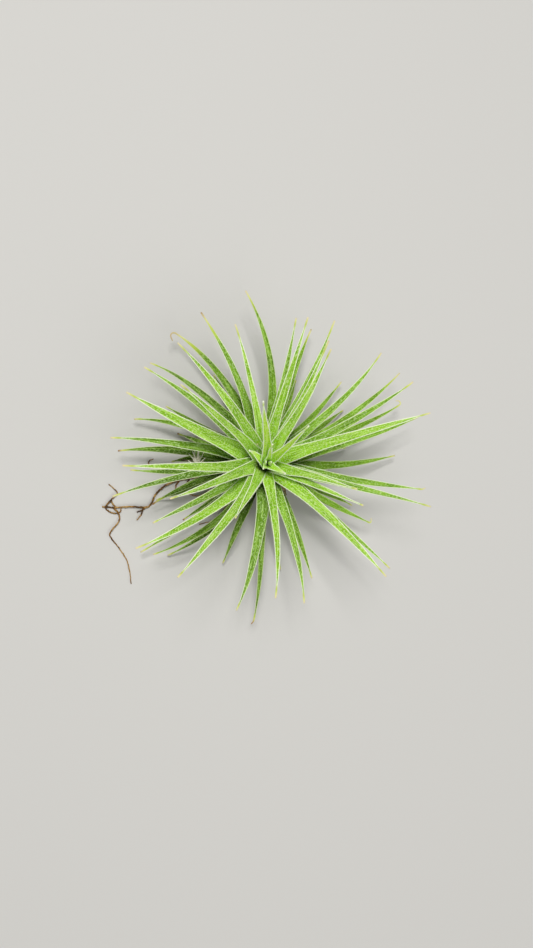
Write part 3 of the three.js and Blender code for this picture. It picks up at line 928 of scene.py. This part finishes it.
# %% Bark finish
CRUST = 1.2  # mm from one crumb to the next, coarser than the real 0.5, which wouldn't show
STRETCH = 5.0  # mm from a pale stretch of root to a dark one
BARK_RELIEF = 0.2  # mm
bark, tree, shader = new_material("woody_root_bark", {"IOR": 1.45, "Specular IOR Level": 0.3})
here = add_node(tree, "TexCoord", {}, "Object")
crust = add_node(tree, "TexNoise", {"Vector": here, "Scale": 1 / (CRUST * MM), "Detail": 4.0})
stretch = add_node(tree, "TexNoise", {"Vector": here, "Scale": 1 / (STRETCH * MM), "Detail": 1.0})
brown = lay_coats(
    tree,
    linear("#8c642c"),
    [
        (stretch, 0.52, 0.62, 0.6, "#4a2e14"),
        (stretch, 0.50, 0.40, 0.7, "#b08a44"),
        (crust, 0.48, 0.36, 0.8, "#2e1c0c"),
        (crust, 0.52, 0.64, 0.7, "#c8a264"),
    ],
)
tree.links.new(brown, shader.inputs["Base Color"])
texture_surface(tree, shader, (crust, 0.3, 0.7, 0.6, 0.9), crust, 0.7, BARK_RELIEF)

# %% Turn the stem, and join the roots to it
# pairs of radius and height in mm; the dents are the scars of leaves that have dropped
STEM_PROFILE = [(3.3, 0), (3.8, 0.9), (3.4, 1.9), (3.9, 2.8), (3.6, 3.5), (4.0, 4.4)]
STEM_RING = 40
stem_part = (*turn_profile(STEM_PROFILE, STEM_RING), {})
stem_and_roots = make_piece("stem_and_roots", [stem_part, *root_parts], bark)
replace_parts(stem_and_roots, "stem_with_roots")

# %% [markdown]
# ## Floor and light
#
# The floor is plain and pale. A soft light nearly overhead, a little towards the top left of the
# picture, models the channels of the leaves, and a wider, weaker one at the lower right lights the
# margins on that side. The surround is kept dim, so that the gaps between the leaves stay dark. The
# picture is developed plainly, so the greens come out as they were mixed.

# %% Floor
FLOOR_HALF = 1.5  # metres
floor_mesh = bpy.data.meshes.new("floor")
corners = [(-1, -1), (1, -1), (1, 1), (-1, 1)]
floor_mesh.from_pydata([(x * FLOOR_HALF, y * FLOOR_HALF, 0) for x, y in corners], [], [(0, 1, 2, 3)])
floor = bpy.data.objects.new("floor", floor_mesh)
bpy.context.scene.collection.objects.link(floor)
floor_constants = {"Base Color": linear("#cac8c3"), "Roughness": 0.8}
floor_mesh.materials.append(new_material("pale_matt_floor", floor_constants)[0])
floor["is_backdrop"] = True

# %% Lights, and how the picture is developed
bpy.context.scene.view_settings.view_transform = "Standard"
LIGHT_TARGET = Vector((0, 0, 20 * MM))
SURROUND_STRENGTH = 0.17


def add_area_light(name, place, size, power):
    """A square light that faces the plant: its place and size in metres, its power in watts."""
    light = bpy.data.lights.new(name, "AREA")
    light.size, light.energy = size, power
    lamp = bpy.data.objects.new(name, light)
    lamp.location = place
    lamp.rotation_euler = (LIGHT_TARGET - Vector(place)).to_track_quat("-Z", "Y").to_euler()
    bpy.context.scene.collection.objects.link(lamp)
    print(name, power, "W")


add_area_light("soft_key", (-0.15, 0.30, 0.90), 0.25, 7.2)
add_area_light("near_fill", (0.30, -0.45, 0.75), 0.60, 2.8)
world = bpy.data.worlds.new("pale_surround")
bpy.context.scene.world = world
world.use_nodes = True
background = world.node_tree.nodes["Background"]
background.inputs["Color"].default_value = linear("#eef0f2")
background.inputs["Strength"].default_value = SURROUND_STRENGTH

# %% [markdown]
# ## Camera
#
# The picture looks almost straight down the stem from about 220 mm away, so the camera stands over
# the plant, a little to its left, and the top of the picture is +Y. Its three axes are worked out
# from the tilt, because a camera turned by a tracking helper may roll when it looks straight down.

# %% Camera
IMAGE_HEIGHT = 948  # pixels
FOCAL_LENGTH = 858  # pixels
SENSOR = 36.0  # mm
TILT = math.radians(12)
DISTANCE = 220 * MM
NEAREST = 5 * MM
AIM = Vector((0, -2.8 * MM, 20 * MM))
back = Vector((-math.sin(TILT), 0, math.cos(TILT)))
right = Vector((0, 1, 0)).cross(back).normalized()
camera_data = bpy.data.cameras.new("camera")
camera_data.sensor_fit = "VERTICAL"
camera_data.sensor_height = SENSOR
camera_data.lens = SENSOR * FOCAL_LENGTH / IMAGE_HEIGHT
camera_data.clip_start = NEAREST
camera = bpy.data.objects.new("camera", camera_data)
turned = Matrix((right, back.cross(right), back)).transposed()
camera.matrix_world = Matrix.Translation(AIM + DISTANCE * back) @ turned.to_4x4()
bpy.context.scene.collection.objects.link(camera)
bpy.context.scene.camera = camera
print("lens", round(camera_data.lens, 1), "mm")

# %% Sizes, and the end
visual_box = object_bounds()
for axis in range(3):
    beyond = [round((visual_box[i][axis] - cad_box[i][axis]) / MM, 2) for i in (0, 1)]
    print("xyz"[axis], "over the CAD box in mm:", beyond)
